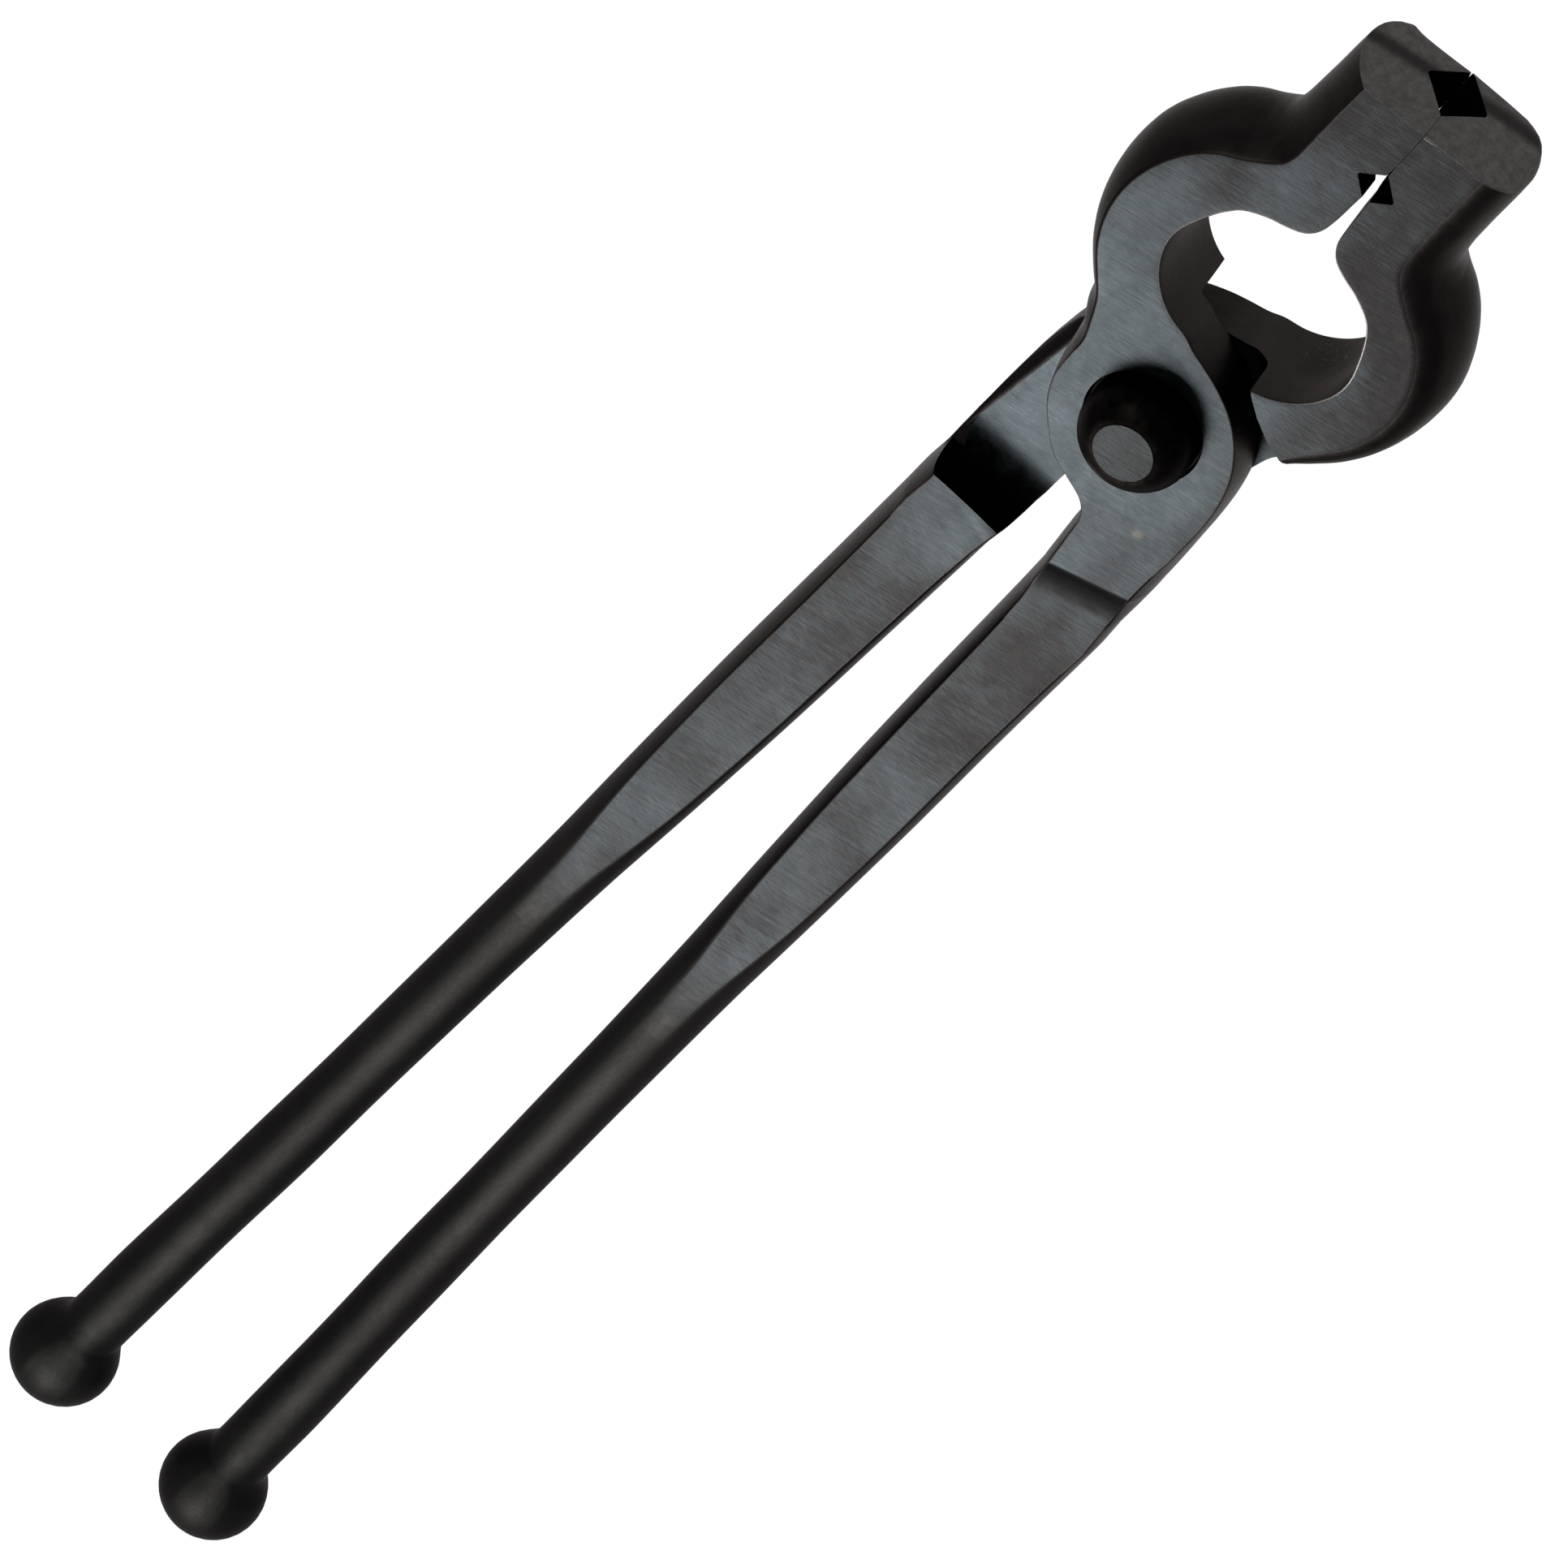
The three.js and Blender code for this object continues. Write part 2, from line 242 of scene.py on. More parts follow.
def handle_stations():
    ball = []
    for angle in np.radians(np.linspace(6, NECK_ANGLE, 26)):
        x = BALL_X - BALL_RADIUS * math.cos(angle)
        ball.append(rod_station(x, BALL_RADIUS * math.sin(angle), BALL_OUTWARD))
    neck_x = ball[-1][0]
    neck_radius = BALL_RADIUS * math.sin(math.radians(NECK_ANGLE))
    neck = [
        rod_station(neck_x + 0.9, neck_radius - 0.62),
        rod_station(neck_x + 2.2, ROD_RADIUS + 0.18),
        rod_station(neck_x + 4.5, ROD_RADIUS),
    ]
    keys = [
        rod_station(-250, 4.92), rod_station(-232, 4.8), rod_station(-214, 4.88),
        rod_station(-196, 4.78), rod_station(-178, 4.9), rod_station(-164, 5.0),
        bar_station(-152, 2.2, 5.15, 4.72, 0.45, 0.91),
        bar_station(-143, 2.25, 5.28, 4.95, 0.28, 0.915),
        bar_station(-134, 2.6, 5.45, 5.25, 0.1, 0.92),
        bar_station(-126, 3.3, 5.7, 5.55, 0.02, 0.925),
        bar_station(-116, 4.15, 6.0, 5.95, 0, 0.92),
        bar_station(-104, 4.7, 6.3, 6.3, 0, 0.91),
        bar_station(-88, 5.15, 6.65, 6.65, 0, 0.9),
        bar_station(-66, 5.4, 6.9, 7.0, 0, 0.89),
        bar_station(-48, 5.75, 7.1, 7.3, 0, 0.88, -0.1),
        bar_station(-40, 6.05, 7.2, 7.5, 0, 0.87, -0.15),
    ]
    body = smooth_through(neck + keys, 2.0)
    return np.vstack([ball[:-1], body])


def bow_station(left, right, left_flat=BOW_FLAT_RADIUS, bulged=BOW_RADIUS, wall=EYE_RADIUS):
    a, b = (np.array([math.cos(t), math.sin(t)]) for t in np.radians([left, right]))
    return [*(EYE + left_flat * a), *(EYE + bulged * a), *(EYE + wall * b), *(EYE + (wall - 0.12) * b),
            HALF, 0, 0.8]


def joint_stations():
    # The hollow that rises from the handle's flat to the joint's ground face, then the boss.
    joint = [
        [-37.6, -4.5, -37.4, -3.6, -35.0, -16.5, -35.0, -17.8, 7.45, 0, 0.86],
        [-36.2, -4.3, -36.0, -3.4, -32.2, -16.4, -32.2, -17.85, 7.4, 0, 0.85],
        [-34.6, -4.15, -34.4, -3.25, -30.3, -16.2, -30.3, -17.9, 7.6, 0, 0.85],
        [-33.0, -4.0, -32.8, -3.1, -28.6, -16.1, -28.6, -17.9, 8.0, 0, 0.84],
        [-31.5, -3.85, -31.3, -2.95, -27.0, -16.0, -27.0, -17.9, 8.5, 0, 0.84],
        [-30.0, -3.75, -29.8, -2.85, -25.5, -15.95, -25.5, -17.9, HALF, 0, 0.83],
        [-28.2, -3.55, -28.0, -2.65, -24.2, -15.9, -24.2, -17.85, HALF, 0, 0.82],
        [-24.0, -3.1, -23.9, -2.5, -19.8, -16.0, -19.8, -17.8, HALF, 0, 0.8],
        [-20.2, -2.6, -20.0, -2.2, -14.2, -16.3, -14.0, -17.6, HALF, 0, 0.8],
        [-17.7, -0.8, -17.4, -0.6, -8.6, -16.3, -8.2, -17.3, HALF, 0, 0.8],
        [-16.2, 2.6, -16.0, 2.7, -3.4, -15.9, -2.9, -16.6, HALF, 0, 0.8],
        [-14.7, 6.2, -14.6, 6.3, 1.4, -14.9, 1.8, -15.4, HALF, 0, 0.8],
        [-11.9, 9.3, -12.0, 9.5, 5.4, -13.3, 5.6, -13.5, HALF, 0, 0.8],
        [-8.0, 12.4, -8.3, 12.9, 9.3, -10.6, 9.4, -10.7, HALF, 0, 0.8],
        [-3.6, 14.2, -3.9, 15.0, 12.2, -7.4, 12.3, -7.45, HALF, 0, 0.8],
        [0.8, 14.6, 0.4, 15.9, 14.2, -3.9, 14.3, -3.95, HALF, 0, 0.8],
        [4.6, 14.8, 3.9, 16.8, 15.4, -0.9, 15.5, -0.9, HALF, 0, 0.8],
        [8.2, 16.0, 7.0, 18.6, 16.5, 2.5, 16.6, 2.5, HALF, 0, 0.8],
    ]
    bow = [
        bow_station(141.5, 172, 23.7, 26.3),
        bow_station(132, 158, bulged=25.9), bow_station(121, 144, bulged=25.75),
        bow_station(110, 129, bulged=25.75), bow_station(99, 114, bulged=25.8),
        bow_station(88, 99, bulged=26.0), bow_station(77, 85, wall=13.0), bow_station(66, 72, wall=12.8),
        bow_station(55.5, 60, 23.1, wall=13.0), bow_station(46, 50, 22.9, 26.2, 13.4),
        bow_station(37.5, 38, 22.5, 25.9, 13.9),
    ]
    mouth = [
        [51.3, 13.6, 52.4, 17.6, 43.6, 8.4, 43.5, 8.4, HALF, 0, 0.8],
        [53.2, 12.0, 54.1, 16.5, 44.7, 5.4, 44.6, 5.4, HALF, 0, 0.8],
        [55.2, 11.45, 55.9, 16.0, 46.0, 3.0, 45.9, 3.0, HALF, 0, 0.8],
        [57.4, 11.3, 57.9, 15.75, 48.2, 1.5, 48.2, 1.45, HALF, 0, 0.8],
        [59.8, 11.3, 60.1, 15.65, 51.5, 0.95, 51.5, 0.9, HALF, 0, 0.8],
        [62.4, 11.35, 62.6, 15.6, 56.5, 0.7, 56.5, 0.65, HALF, 0, 0.8],
        [65.0, 11.35, 65.1, 15.55, 61.5, 0.35, 61.5, 0.3, HALF, 0, 0.8],
        [67.6, 11.35, 67.6, 15.55, 66.0, 0.01, 66.0, 0.01, HALF, 0, 0.8],
        [70.0, 11.35, 70.0, 15.55, 69.6, 0.01, 69.6, 0.01, HALF, 0, 0.8],
        [TIP_X, 11.35, TIP_X, 15.5, TIP_X, 0.01, TIP_X, 0.01, HALF, 0, 0.8],
    ]
    rows = smooth_through(joint + bow + mouth, 1.0)
    rows[:, 8] = np.minimum(rows[:, 8], HALF)
    for column in (5, 7):
        least = np.where(rows[:, column - 1] > 50, TIP_GAP, -np.inf)
        rows[:, column] = np.maximum(rows[:, column], least)
    return rows


def lean(x):
    """How far the two jaws have been bent together towards +Y at their meeting faces."""
    return np.interp(x, [40, 48, 53, 61, 75.5], [0, 0.3, 0.42, 0.64, 0.98])


def sway(x):
    """How far both handles, and the outsides of both jaws, stand off the tool's own axis."""
    return np.interp(x, [-170, -70, -45, -28, -12, 34, 60], [0, -0.2, -0.35, -0.3, 0, 0, 0.5])


def section(row, soft):
    """The closed section of one station, as points, with the slot of the strip after each point.

    The outer edge of the jaw is rounded by soft, and the other edges by EDGE_ROUND.
    """
    left_flat, left_wide, right_flat, right_wide = (row[i:i + 2] for i in (0, 2, 4, 6))
    height, crown, roundness = row[8:11]
    fall = 1 - math.sqrt(1 - roundness**2)

    def side(flat, widest, t):
        share = (1 - math.sqrt(max(0.0, 1 - (roundness * t) ** 2))) / fall
        xy = widest + (flat - widest) * share
        return [*xy, height * t]

    def flat(t, sign):
        xy = right_flat + (left_flat - right_flat) * t
        return [*xy, sign * (height + crown * (1 - (2 * t - 1) ** 2))]

    runs = [
        (lambda t: flat(t, 1), FLAT_STEPS, GROUND),
        (lambda t: side(left_flat, left_wide, 1 - 2 * t), SIDE_STEPS, FORGED),
        (lambda t: flat(1 - t, -1), FLAT_STEPS, GROUND),
        (lambda t: side(right_flat, right_wide, 2 * t - 1), SIDE_STEPS, FORGED),
    ]
    lengths = [math.dist(run(0), run(1)) for run, _, _ in runs]
    reaches = []
    for i in range(4):
        wanted = EDGE_ROUND if row[4] < 62 else TIP_EDGE_ROUND
        if i in (1, 2):
            wanted += (soft - EDGE_ROUND) * min(max((row[0] - 9) / 9, 0), 1)
        reaches.append(min(wanted, 0.4 * lengths[i - 1], 0.4 * lengths[i]))
    points, marks = [], []
    for i, (run, steps, slot) in enumerate(runs):
        first = reaches[i] / lengths[i]
        last = 1 - reaches[(i + 1) % 4] / lengths[i]
        made = [np.array(run(t)) for t in np.linspace(first, last, steps + 1)]
        before = np.array(runs[i - 1][0](1 - reaches[i] / lengths[i - 1]))
        points += [(before + made[0] + 2 * np.array(run(0))) / 4, *made]
        marks += [FORGED] + [slot] * steps + [FORGED]
    return np.array(points), marks


def end_x(y, z):
    """Where the jaws' ends stand, at a place across the tool and a height towards its front."""
    return np.minimum(74.9 - 0.09 * y, TIP_X - 0.05) - 0.85 * np.clip(z / HALF, 0, 1) ** 2


def jaw_end(ring, side, corner):
    """The jaw's end: rings that roll over its back and its corners, then close on a flat."""
    y, z = ring[:, 1], ring[:, 2] * side
    rear = np.clip((-z - 4.2) / 4.2, 0, 1)
    if side > 0:
        rear *= 1 - 0.6 * np.clip((y - 10.0) / 4.0, 0, 1)
    outside = np.clip((y - 9.0) / 4.0, 0, 1) * np.clip((HALF - z) / 4.0, 0.15, 1)
    nose = np.clip((1.0 - y) / 0.6, 0, 1) * np.clip((z - 5.5) / 3.0, 0, 1)
    roll = np.maximum.reduce([0.2 + 3.0 * rear, corner * outside, 1.0 * nose])
    middle = np.array([7.5, 0.0])
    inward = middle - ring[:, 1:]
    inward /= np.linalg.norm(inward, axis=1)[:, None]
    inward[:, 0] *= np.clip((y - 0.2) / 2.5, 0, 1)
    rings = []
    for turn in np.linspace(0, math.pi / 2, 9)[1:]:
        made = ring.copy()
        made[:, 0] = TIP_X - roll * (1 - math.sin(turn))
        made[:, 1:] += inward * (roll * (1 - math.cos(turn)))[:, None]
        rings.append(made)
    edge = rings[-1]
    for share in (0.8, 0.6, 0.4, 0.2, 0.06):
        made = edge.copy()
        made[:, 1:] = middle + (edge[:, 1:] - middle) * share
        rings.append(made)
    rings[-1][:, 0] = TIP_X
    for made in rings:
        place = end_x(side * made[:, 1], made[:, 2] * side)
        made[:, 0] = END_START_X + (made[:, 0] - END_START_X) * (place - END_START_X) / END_LENGTH
    return rings


def forging(name, side, corner, soft):
    """side is +1 for the front lever and -1 for the back one, whose own +Y and +Z are turned over."""
    rows = np.vstack([handle_stations(), joint_stations()])
    rows[:, 1] += side * sway(rows[:, 0])
    rows[:, 3] += side * sway(rows[:, 2])
    for column in (5, 7):
        x = rows[:, column - 1]
        rows[:, column] += side * np.where(x < 30, sway(x), lean(x))
    sections, marks = [], None
    for row in rows:
        points, marks = section(row, soft)
        sections.append(points)
    sections = wander(np.array(sections))
    body = [ring for ring in sections if ring[:, 0].max() < TIP_X - ROLL_ROOM]
    for ring in body:
        beyond = np.clip(ring[:, 0] - END_START_X, 0, None)
        place = end_x(side * ring[:, 1], ring[:, 2] * side)
        ring[:, 0] += beyond * ((place - END_START_X) / END_LENGTH - 1)
    sections = np.array(body + jaw_end(sections[-1], side, corner))
    count = sections.shape[1]
    total = len(sections)
    verts = sections.reshape(-1, 3)
    faces, slots = [], []
    for r in range(total - 1):
        for i in range(count):
            j = (i + 1) % count
            faces.append((r * count + j, r * count + i, (r + 1) * count + i, (r + 1) * count + j))
            if r >= len(body):
                slots.append(END)
            elif marks[i] == GROUND and sections[r][i][0] > FLATS_FROM_X:
                slots.append(GROUND)
            else:
                slots.append(FORGED)
    faces.append(tuple(range(count)))
    faces.append(tuple(range((total - 1) * count, total * count))[::-1])
    slots += [FORGED, END]
    return mesh_object(name, verts, faces, slots)


def wander(sections):
    """The slow unevenness of the rods, and the metal that fills the front and back of each neck."""
    centre = sections.mean(axis=1, keepdims=True)
    x = centre[:, 0, 0]
    rod = np.clip((FLATS_FROM_X - x) / 20, 0, 1) * np.clip((x - BALL_X - 8) / 12, 0, 1)
    sway_y = 0.08 * np.sin(x / 17.0 + 0.6) + 0.03 * np.sin(x / 9.3)
    sway_z = 0.1 * np.sin(x / 21.0 + 2.0) + 0.06 * np.sin(x / 7.7 + 1.0)
    sections[:, :, 1] += (rod * sway_y)[:, None]
    sections[:, :, 2] += (rod * sway_z)[:, None]
    fill = NECK_FILL * np.exp(-((x - BALL_X - 6.8) / 2.3) ** 2)
    z = sections[:, :, 2]
    sections[:, :, 2] += fill[:, None] * np.sign(z) * np.clip(np.abs(z) / ROD_RADIUS, 0, 1) ** 3
    return sections


# ---------- what is cut from the forging ----------

def lap_cutter(fillet):
    """The half of the joint that the other lever takes up, rounded where its wall meets its floor."""
    low = LAP_GAP - HALF - 6
    outline = np.vstack([arc((0, 0), RECESS_RADIUS, -100, -5, 40), SHOULDER])
    reach = np.linalg.norm(outline, axis=1, keepdims=True)
    rings = [(outline, low)]
    for turn in np.linspace(0, math.pi / 2, 9):
        drawn_in = fillet * (1 - math.cos(turn))
        rings.append((outline * (1 - drawn_in / reach), LAP_GAP - fillet * (1 - math.sin(turn))))
    joint = stack("lap_recess", rings, LAP)
    a, b = STEP_FILLET
    angles = np.radians(np.linspace(90, 180, 25))
    curve = np.column_stack([STEP_X + a + a * np.cos(angles), LAP_GAP - b + b * np.sin(angles)])
    profile = np.vstack([curve, [[STEP_X, low], [STEP_NEAR_X, low], [STEP_NEAR_X, LAP_GAP]]])
    step = prism("lap_step", profile, -24, 24, axis="Y", slot=LAP)
    boolean(joint, step, "UNION")
    return joint


def outer_bevel():
    """The rounded outer edge of the back lever's lap face."""
    outline = [
        [2.0, -1.6], [0.6, -0.4], [0.0, 0.15], [-0.9, 0.75], [-1.7, 1.6], [-2.3, 2.8], [-2.6, 4.4],
        [-5.0, 4.4], [-5.0, -1.6],
    ]
    strip = prism("outer_bevel", outline, -19.5, 17, axis="X", slot=FORGED)
    to_edge = Matrix.Translation((BEVEL_AT[0] * MM, BEVEL_AT[1] * MM, 0))
    strip.data.transform(to_edge @ Matrix.Rotation(BEVEL_TURN, 4, "Z"))
    return strip


def wire_notch(side):
    half = NOTCH_DEPTH * 0.94
    y = side * lean(NOTCH_X)
    outline = [
        [NOTCH_X - 2 * half, y - NOTCH_DEPTH], [NOTCH_X - NOTCH_FLAT, y + NOTCH_DEPTH - NOTCH_FLAT],
        [NOTCH_X + NOTCH_FLAT, y + NOTCH_DEPTH - NOTCH_FLAT], [NOTCH_X + 2 * half, y - NOTCH_DEPTH],
    ]
    return prism("wire_notch", outline, -HALF - 3, HALF + 3)


def grip_groove(side):
    centre = -side * GRIP_TO_BACK
    y = side * lean(TIP_X)
    outline = [
        [y - GRIP_DEPTH, centre + 2 * GRIP_HALF_HEIGHT], [y - GRIP_DEPTH, centre - 2 * GRIP_HALF_HEIGHT],
        [y + GRIP_DEPTH - 0.3, centre - 0.35], [y + GRIP_DEPTH - 0.3, centre + 0.35],
    ]
    return prism("grip_groove", outline, GRIP_FROM_X, TIP_X + 5, axis="X")


def seat_cutter(seat_radius, depth):
    top = HALF + 3
    hole = SHANK_RADIUS + SHANK_CLEARANCE
    mouth = seat_radius + SEAT_CHAMFER
    profile = [
        (0, -HALF - 4), (hole, -HALF - 4), (hole, HALF - depth),
        (seat_radius - 0.25, HALF - depth), (seat_radius, HALF - SEAT_CHAMFER),
        (mouth, HALF), (mouth, top), (0, top),
    ]
    return lathe("seat", profile, 96, [FORGED] * len(profile))


# ---------- materials ----------

def nodes_of(material):
    material.use_nodes = True
    tree = material.node_tree
    tree.nodes.clear()
    out = tree.nodes.new("ShaderNodeOutputMaterial")
    shader = tree.nodes.new("ShaderNodeBsdfPrincipled")
    tree.links.new(shader.outputs[0], out.inputs[0])
    return tree, shader


EDGE_TINT = (0.62, 0.6, 0.6, 1)


class Nodes:
    """Short ways to add the shader nodes that the steels share. Places are in millimetres."""

    def __init__(self, name):
        self.material = bpy.data.materials.new(name)
        self.tree, self.shader = nodes_of(self.material)
        coordinates = self.tree.nodes.new("ShaderNodeTexCoord").outputs["Object"]
        self.place = self.vector("SCALE", coordinates, scale=1 / MM)

    def put(self, value, socket):
        if hasattr(value, "links"):
            self.tree.links.new(value, socket)
        else:
            socket.default_value = value

    def vector(self, operation, a, b=None, scale=None):
        node = self.tree.nodes.new("ShaderNodeVectorMath")
        node.operation = operation
        self.put(a, node.inputs[0])
        if b is not None:
            self.put(b, node.inputs[1])
        if scale is not None:
            node.inputs["Scale"].default_value = scale
        return node.outputs["Value" if operation in ("LENGTH", "DOT_PRODUCT") else "Vector"]

    def toward(self, *direction):
        """How far the place lies along a direction."""
        return self.vector("DOT_PRODUCT", self.place, direction)

    def maths(self, operation, a, b=0.0):
        node = self.tree.nodes.new("ShaderNodeMath")
        node.operation = operation
        self.put(a, node.inputs[0])
        self.put(b, node.inputs[1])
        return node.outputs[0]

    def span(self, value, low, high, start, end):
        node = self.tree.nodes.new("ShaderNodeMapRange")
        node.interpolation_type = "SMOOTHSTEP"
        self.put(value, node.inputs["Value"])
        for name, number in (("From Min", low), ("From Max", high), ("To Min", start), ("To Max", end)):
            node.inputs[name].default_value = number
        return node.outputs[0]

    def noise(self, stretch, scale, detail=4.0, rough=0.6, turn=0.0):
        """Noise with about scale features per millimetre, stretched by the three factors."""
        node = self.tree.nodes.new("ShaderNodeMapping")
        node.vector_type = "TEXTURE"
        self.put(self.place, node.inputs["Vector"])
        node.inputs["Rotation"].default_value = (0, 0, math.radians(turn))
        node.inputs["Scale"].default_value = stretch
        made = self.tree.nodes.new("ShaderNodeTexNoise")
        self.put(node.outputs[0], made.inputs["Vector"])
        made.inputs["Scale"].default_value = scale
        made.inputs["Detail"].default_value = detail
        made.inputs["Roughness"].default_value = rough
        return made.outputs["Fac"]

    def mix(self, factor, a, b):
        node = self.tree.nodes.new("ShaderNodeMix")
        node.data_type = "RGBA"
        self.put(factor, node.inputs["Factor"])
        for value, socket in ((a, node.inputs[6]), (b, node.inputs[7])):
            self.put((*value, 1) if isinstance(value, tuple) else value, socket)
        return node.outputs[2]

    def near(self, spot, inner, outer, squash=(1, 1, 1)):
        """1 within inner of a spot on the tool, fading to 0 at outer."""
        away = self.vector("MULTIPLY", self.vector("SUBTRACT", self.place, spot), squash)
        return self.span(self.vector("LENGTH", away), inner, outer, 1.0, 0.0)

    def bump(self, height, strength, distance):
        node = self.tree.nodes.new("ShaderNodeBump")
        node.inputs["Strength"].default_value = strength
        node.inputs["Distance"].default_value = distance * MM
        self.put(height, node.inputs["Height"])
        self.put(node.outputs[0], self.shader.inputs["Normal"])

    def finish(self, colour, roughness):
        self.put(colour, self.shader.inputs["Base Color"])
        self.put(roughness, self.shader.inputs["Roughness"])
        self.shader.inputs["Metallic"].default_value = 1
        self.shader.inputs["Specular Tint"].default_value = EDGE_TINT
        return self.material


# Paler and darker patches of the front's flats: place on the tool, reach, and how much paler.
STAINS = (
    ((53, 7), 13, 0.3), ((44, -15), 17, -0.28), ((25, -21), 14, -0.25), ((42.5, 17.5), 7, -0.35),
    ((16, 22), 8, 0.2), ((-14, -4), 9, -0.2), ((-118, 12), 14, 0.3),
)

# Base colours, linear.
FLAT_DULL = (0.0043, 0.0043, 0.00435)
FLAT_BRIGHT = (0.0096, 0.0111, 0.0118)
RIVET_DULL = (0.0036, 0.0036, 0.00365)
RIVET_BRIGHT = (0.0084, 0.0093, 0.0095)
TAN_MARK = (0.022, 0.019, 0.015)
# Painted shade for the corner where the back lever steps down to its lap face.
STEP_PAINTED_SHADE = (0.0006, 0.0005, 0.0005)
# Painted shade for the ground hollow before the front lever's joint.
HOLLOW_PAINTED_SHADE = (0.0024, 0.0024, 0.0024)
TAPER_GREY = (0.0098, 0.0095, 0.0092)
JAW_DARK = (0.0078, 0.0066, 0.0063)
JAW_PALE = (0.0125, 0.0108, 0.0104)
ROD_DARK = (0.0062, 0.006, 0.0058)
ROD_PALE = (0.0088, 0.0084, 0.0081)
# Painted highlight on the rods where they leave the flats.
ROD_PAINTED_HIGHLIGHT = (0.0118, 0.0114, 0.011)
BALL_DARK = (0.0062, 0.0061, 0.0059)
BALL_PALE = (0.0085, 0.0083, 0.008)
CLOUD_DARK = (0.0045, 0.0042, 0.0041)
# Painted light on the eye's wall, and painted shade in the rivet's seat below.
EYE_PAINTED_LIGHT = (0.1, 0.09, 0.086)
SEAT_PAINTED_SHADE = (0.0012, 0.001, 0.001)
PITTED = (0.075, 0.07, 0.064)
# The dome's colours are darkened as painted shade from its seat's walls.
DOME_SHADE_DARK = (0.001, 0.0009, 0.0009)
DOME_SHADE_PALE = (0.0034, 0.0028, 0.0025)
END_DARK = (0.05, 0.0455, 0.0455)
END_PALE = (0.082, 0.075, 0.075)
# Painted shade for the band where the jaws' ends roll over.
END_PAINTED_SHADE = (0.013, 0.0115, 0.0115)


def flat_tone(n, lift, lines, mottle):
    """How pale a ground face is: 0 is dull and 1 is bright. A painted sheen makes it palest by the joint
    and paler along the handles.
    """
    fine = n.noise((0.2, 2.4, 1.0), 1.0, 3.0, 0.7, turn=-16)
    clouds = n.noise((2.0, 1, 1), 0.11, 3.0, 0.55)
    # Painted sheen: paler by the joint and along the handles, standing in for the key light's reflection.
    handles = n.span(n.toward(1, 0, 0), -88, -52, 0.26, 0.0)
    tone = n.maths("ADD", n.near((0, 12, FRONT_Z), 22, 66, (1, 1.5, 0)), handles)
    for texture, strength in ((lines, 1.5), (fine, 1.1), (mottle, 1.7), (clouds, 1.5)):
        shift = n.maths("MULTIPLY", n.maths("SUBTRACT", texture, 0.5), strength)
        tone = n.maths("ADD", tone, shift)
    for spot, reach, strength in STAINS:
        stain = n.near((*spot, FRONT_Z), 0.2 * reach, reach)
        tone = n.maths("ADD", tone, n.maths("MULTIPLY", stain, strength))
    return n.maths("MAXIMUM", n.maths("ADD", tone, lift), -0.15)


def scuff(n, colour):
    """The small tan mark on the front lever's joint."""
    ragged = n.noise((1, 1, 1), 1.1, 5.0, 0.8)
    mark = n.maths("MULTIPLY", n.near((-15.3, -10.4, FRONT_Z), 0.1, 2.4), ragged)
    return n.mix(n.span(mark, 0.3, 0.5, 0.0, 0.4), colour, TAN_MARK)


def painted_step_shade(n, colour, mottle):
    """Painted shade: blackens the corner where the back lever steps down to its lap face, as the shadow
    that falls there.
    """
    along = n.maths("ADD", n.toward(1, 0, 0), n.maths("MULTIPLY", mottle, 6.0))
    far_side = n.span(n.toward(0, 1, 0), 2.0, 3.0, 0.0, 1.0)
    # Painted shade, standing in for the shadow in the step's corner.
    step_shade = n.maths("MULTIPLY", n.span(along, -28.0, -21.0, 1.0, 0.0), far_side)
    return n.mix(step_shade, colour, STEP_PAINTED_SHADE)


def hollow_shade(n, colour):
    """Painted shade in the hollow that was ground across the front lever before its joint, dark as its
    slope away from the light would look.
    """
    across = n.toward(0.934, 0.357, 0)
    begins = n.span(across, -36.8, -35.0, 0.0, 1.0)
    band = n.maths("MULTIPLY", begins, n.span(across, -29.7, -29.3, 1.0, 0.0))
    near_side = n.span(n.toward(0, 1, 0), -2.0, -1.0, 1.0, 0.0)
    # Painted shade: the band across the hollow is darkened.
    hollow = n.maths("MULTIPLY", band, near_side)
    return n.mix(hollow, colour, HOLLOW_PAINTED_SHADE)


def ground_steel(name, dull, bright, lift, shade_step=False):
    """Faces ground flat across the tool, then blackened, with a painted sheen: bluest by the joint, duller
    toward the tips.
    """
    n = Nodes(name)
    lines = n.noise((0.3, 6.0, 1.0), 1.0, 4.0, 0.7, turn=14)
    mottle = n.noise((1, 1, 1), 0.5, 6.0, 0.72)
    colour = n.mix(flat_tone(n, lift, lines, mottle), dull, bright)
    colour.node.clamp_factor = False
    colour = scuff(n, colour)
    # The lap face gets painted shade in its step's corner.
    if shade_step:
        colour = painted_step_shade(n, colour, mottle)
    rod = n.span(n.toward(1, 0, 0), -151, -126, 1.0, 0.0)
    colour = n.mix(rod, hollow_shade(n, colour), TAPER_GREY)
    rough = n.maths("ADD", n.span(mottle, 0.25, 0.75, 0.34, 0.47), n.maths("MULTIPLY", rod, 0.16))
    n.bump(n.maths("ADD", lines, n.maths("MULTIPLY", mottle, 0.6)), 0.16, 0.12)
    return n.finish(colour, rough)


